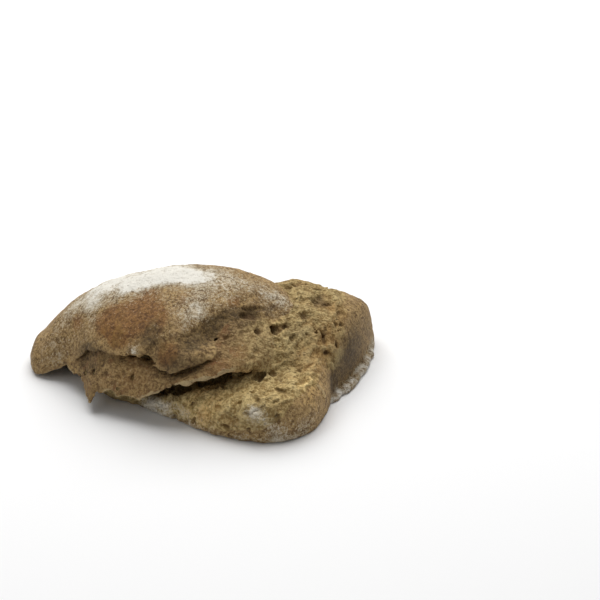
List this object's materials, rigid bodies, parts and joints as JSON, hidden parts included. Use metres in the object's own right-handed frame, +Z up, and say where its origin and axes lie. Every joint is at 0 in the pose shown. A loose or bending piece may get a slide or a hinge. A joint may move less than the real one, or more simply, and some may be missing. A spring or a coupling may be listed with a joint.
{
  "type": "bread roll",
  "caption": "Torn rustic bread roll: a floured crust cap lifted over a hanging skin of crumb, with an open crumb face and a rounded foot, lying on its flat base.",
  "frame": {"origin": "middle of the roll's bounding box, on the flat base it lies on", "axes": "+X along the roll, from the low crust end to the open crumb end; +Y from the torn front to the crust at the back; +Z up"},
  "size_m": [0.165, 0.1064, 0.0532],
  "materials": {
    "bread": "matt brown crust with flour, and open olive-brown crumb"
  },
  "bodies": {
    "root": {"bread_roll": "bread"}
  },
  "joints": []
}
